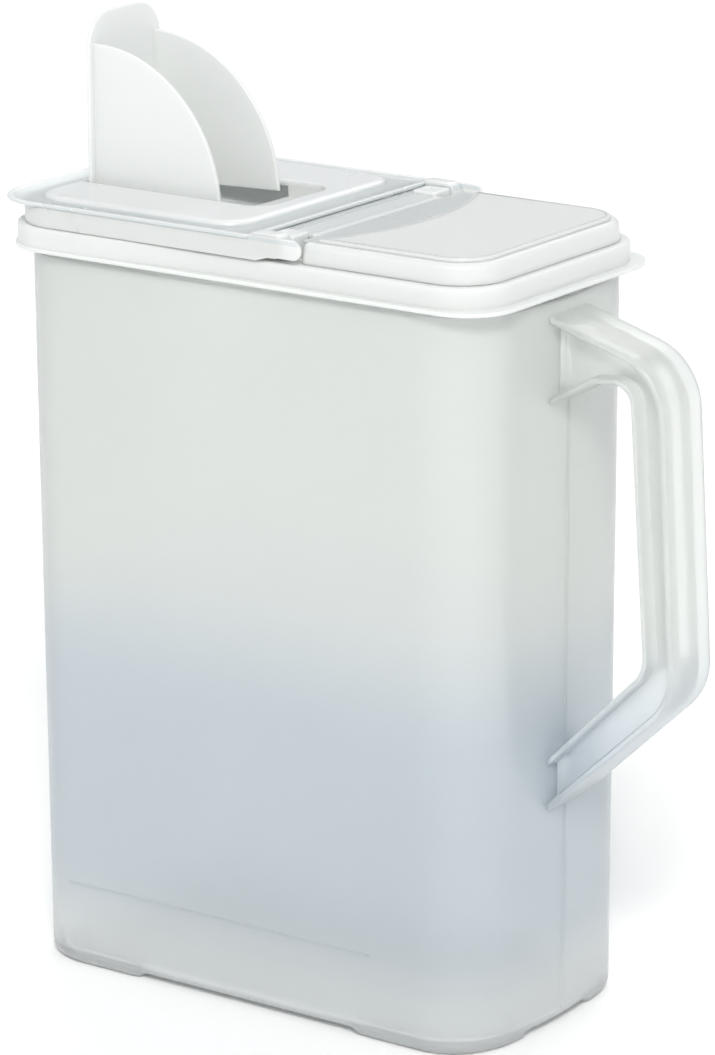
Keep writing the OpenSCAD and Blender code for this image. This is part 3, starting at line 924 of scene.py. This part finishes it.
class DISPENSER_OT_flip_lid_hinge(bpy.types.Operator):
    """Build the flip lid's side of the hinge and the bosses that hold the spout's rod"""
    bl_idname = "dispenser.flip_lid_hinge"
    bl_label = "Flip lid hinge"

    def execute(self, context):
        low, high = box("hinge_knuckles")
        r = (high.z - low.z) / 2
        x, z = high.x - r, (low.z + high.z) / 2
        loops = [arc(x, z, r, -90, 90, 16) + [(low.x, z + r), (low.x, z - r)], circle(x, z, 0.00165, 24)]
        knuckles = side_plates("knuckle_pair", loops, high.y - 0.0062, high.y, 0.0004)
        finish_piece(knuckles, "flip_lid", CLEAR, ("hinge_knuckles",))

        low, high = box("spout_bosses")
        r = (high.x - low.x) / 2
        x, z = (low.x + high.x) / 2, low.z + r
        loops = [arc(x, z, r, 180, 360, 16) + [(x + r, high.z), (x - r, high.z)], circle(x, z, 0.00155, 24)]
        bosses = side_plates("boss_pair", loops, high.y - 0.0037, high.y, 0.0003)
        finish_piece(bosses, "flip_lid", CLEAR, ("spout_bosses",))
        return {"FINISHED"}


class DISPENSER_OT_finger_recess(bpy.types.Operator):
    """Build the scooped finger recess under the spout's tab"""
    bl_idname = "dispenser.finger_recess"
    bl_label = "Finger recess"

    def execute(self, context):
        low, high = box("finger_recess")
        x0, x1, half_w, wall = low.x, high.x, high.y, 0.0008
        floor = low.z + 0.0012
        scoop_r = 0.0035
        scoop = arc(x1 - wall - scoop_r, floor + scoop_r, scoop_r, 270, 360, 8)
        side = ([(x0, low.z), (x1 - 0.0015, low.z), (x1, low.z + 0.0015), (x1, high.z), (x1 - wall, high.z)]
                + scoop[::-1] + [(x0, floor)])
        tray = plate("tray", [side], -half_w + 0.0001, half_w - 0.0001, 0.0002, upright_along_y)
        cheek = box_loop(x0, x1 - 0.0002, low.z + 0.0002, high.z, 0.0003)
        cheeks = side_plates("walls", [cheek], half_w - wall, half_w, 0.0002)
        finish_piece(fuse("finger_tray", [tray, cheeks]), "flip_lid", WHITE, ("finger_recess",))
        return {"FINISHED"}


# ---------------------------------------------------------------- spout

class DISPENSER_OT_spout(bpy.types.Operator):
    """Build the spout: plate with its tab, two side cheeks and the pivot rod"""
    bl_idname = "dispenser.spout"
    bl_label = "Spout"

    def execute(self, context):
        sizes = context.scene.dispenser_spout
        low, high = box("spout_plate")
        half_w, r = high.y, sizes.tab_radius
        outline = ([(-half_w, low.z), (half_w, low.z)] + arc(half_w - r, high.z - r, r, 0, 90, 12)
                   + arc(r - half_w, high.z - r, r, 90, 180, 12))
        tab = plate("tab", [outline], low.x, high.x, sizes.edge_round, upright_along_x)

        rod_low, rod_high = box("spout_pivot_rod")
        pivot = ((rod_low.x + rod_high.x) / 2, (rod_low.z + rod_high.z) / 2)
        low, high = box("spout_cheek_front")
        back = pivot[0] - 0.0008
        quarter = [(back, pivot[1])] + arc(*pivot, high.z - pivot[1], CHEEK_RISE, 90, 40) + [(back, high.z)]
        cheeks = side_plates("cheeks", [quarter], low.y, high.y, 0.0004)
        body = fuse("spout_body", [tab, cheeks])
        finish_piece(body, "spout", WHITE, ("spout_plate", "spout_cheek_front", "spout_cheek_back"))
        round_face = [circle(*pivot, (rod_high.z - rod_low.z) / 2, 32)]
        rod = plate("spout_rod", round_face, rod_low.y, rod_high.y, 0.0004, upright_along_y)
        finish_piece(rod, "spout", WHITE, ("spout_pivot_rod",))
        return {"FINISHED"}


# ---------------------------------------------------------------- stage

def soft_sun(name, strength, spread, azimuth, elevation, tone):
    """A distant soft light that shines from an azimuth and an elevation."""
    data = bpy.data.lights.new(name, "SUN")
    data.energy = strength
    data.angle = spread
    data.color = tone
    lamp = link_object(name, data)
    away = Vector((math.sin(azimuth) * math.cos(elevation), -math.cos(azimuth) * math.cos(elevation),
                   math.sin(elevation)))
    lamp.location = away * 2
    lamp.rotation_mode = "QUATERNION"
    lamp.rotation_quaternion = away.to_track_quat("Z", "Y")


def plain_material(name, tone, roughness):
    """A plain matt finish for the floor."""
    material = bpy.data.materials.new(name)
    material.use_nodes = True
    bsdf = material.node_tree.nodes["Principled BSDF"]
    bsdf.inputs["Base Color"].default_value = (*tone, 1.0)
    bsdf.inputs["Roughness"].default_value = roughness
    return material


class DISPENSER_OT_stage(bpy.types.Operator):
    """Set the floor, the soft studio light and the camera"""
    bl_idname = "dispenser.stage"
    bl_label = "Stage"

    def execute(self, context):
        scene = context.scene
        stage = scene.dispenser_stage
        bm = bmesh.new()
        corners = [bm.verts.new((x, y, 0.0)) for x, y in ((-6, -6), (6, -6), (6, 6), (-6, 6))]
        bm.faces.new(corners)
        mesh = bpy.data.meshes.new("floor")
        bm.to_mesh(mesh)
        bm.free()
        mesh.materials.append(plain_material("pale_floor", (0.98, 0.98, 0.98), 0.9))
        floor = link_object("floor", mesh)

        world = bpy.data.worlds.new("studio")
        world.use_nodes = True
        background = world.node_tree.nodes["Background"]
        background.inputs["Color"].default_value = (0.95, 0.98, 1.0, 1.0)
        background.inputs["Strength"].default_value = stage.sky
        scene.world = world
        scene.view_settings.view_transform = "Standard"
        soft_sun("key", stage.key, math.radians(14), math.radians(37), math.radians(38), (1.0, 0.985, 0.955))
        soft_sun("back", stage.back, math.radians(40), math.radians(205), math.radians(42), (1.0, 0.99, 0.97))
        camera_data = bpy.data.cameras.new("camera")
        camera_data.sensor_width = 36.0
        camera_data.lens = stage.lens
        camera_data.clip_start, camera_data.clip_end = 0.05, 50.0
        camera = link_object("camera", camera_data)
        turn, down, roll = stage.azimuth, stage.elevation, stage.roll
        forward = Vector((-math.sin(turn) * math.cos(down), math.cos(turn) * math.cos(down), -math.sin(down)))
        right = Vector((math.cos(turn), math.sin(turn), 0.0))
        up = right.cross(forward)
        tilted_right = math.cos(roll) * right + math.sin(roll) * up
        tilted_up = math.cos(roll) * up - math.sin(roll) * right
        camera.matrix_world = Matrix((tilted_right, tilted_up, -forward)).transposed().to_4x4()
        camera.location = Vector(stage.place) + Vector((MIDDLE_X, 0, 0))
        scene.camera = camera
        return {"FINISHED"}


# ---------------------------------------------------------------- panel and main

OPERATORS = (
    DISPENSER_OT_stage,
    DISPENSER_OT_container,
    DISPENSER_OT_moulded_lines,
    DISPENSER_OT_handle,
    DISPENSER_OT_lid_collar,
    DISPENSER_OT_filling_deck,
    DISPENSER_OT_fixed_cover,
    DISPENSER_OT_hinge_strips,
    DISPENSER_OT_hinge_mount,
    DISPENSER_OT_flip_lid,
    DISPENSER_OT_flip_lid_skirt,
    DISPENSER_OT_flip_lid_hinge,
    DISPENSER_OT_finger_recess,
    DISPENSER_OT_spout,
)


class DISPENSER_PT_sidebar(bpy.types.Panel):
    """Lists the dispenser's operators and sizes"""
    bl_label = "Cereal dispenser"
    bl_idname = "DISPENSER_PT_sidebar"
    bl_space_type = "VIEW_3D"
    bl_region_type = "UI"
    bl_category = "Dispenser"

    def draw(self, context):
        for operator in OPERATORS:
            self.layout.operator(operator.bl_idname)
        for group_name, _ in SETTINGS:
            group = getattr(context.scene, group_name)
            for key in group.bl_rna.properties.keys():
                if key not in ("rna_type", "name"):
                    self.layout.prop(group, key)


SETTINGS = (
    ("dispenser_container", ContainerSettings),
    ("dispenser_lid", LidSettings),
    ("dispenser_spout", SpoutSettings),
    ("dispenser_finish", FinishSettings),
    ("dispenser_stage", StageSettings),
)


def register():
    """Registers the settings, the operators and the panel."""
    for name, group in SETTINGS:
        bpy.utils.register_class(group)
        setattr(bpy.types.Scene, name, PointerProperty(type=group))
    for operator in OPERATORS:
        bpy.utils.register_class(operator)
    bpy.utils.register_class(DISPENSER_PT_sidebar)


def unregister():
    """Takes back what register added."""
    bpy.utils.unregister_class(DISPENSER_PT_sidebar)
    for operator in reversed(OPERATORS):
        bpy.utils.unregister_class(operator)
    for name, group in reversed(SETTINGS):
        delattr(bpy.types.Scene, name)
        bpy.utils.unregister_class(group)


def main():
    register()
    finish = bpy.context.scene.dispenser_finish
    frosted_polypropylene(finish)
    white_polypropylene(finish)
    clear_polypropylene(finish)
    for operator in OPERATORS:
        group, name = operator.bl_idname.split(".")
        getattr(getattr(bpy.ops, group), name)()
    bpy.context.view_layer.update()


if __name__ == "__main__":
    main()
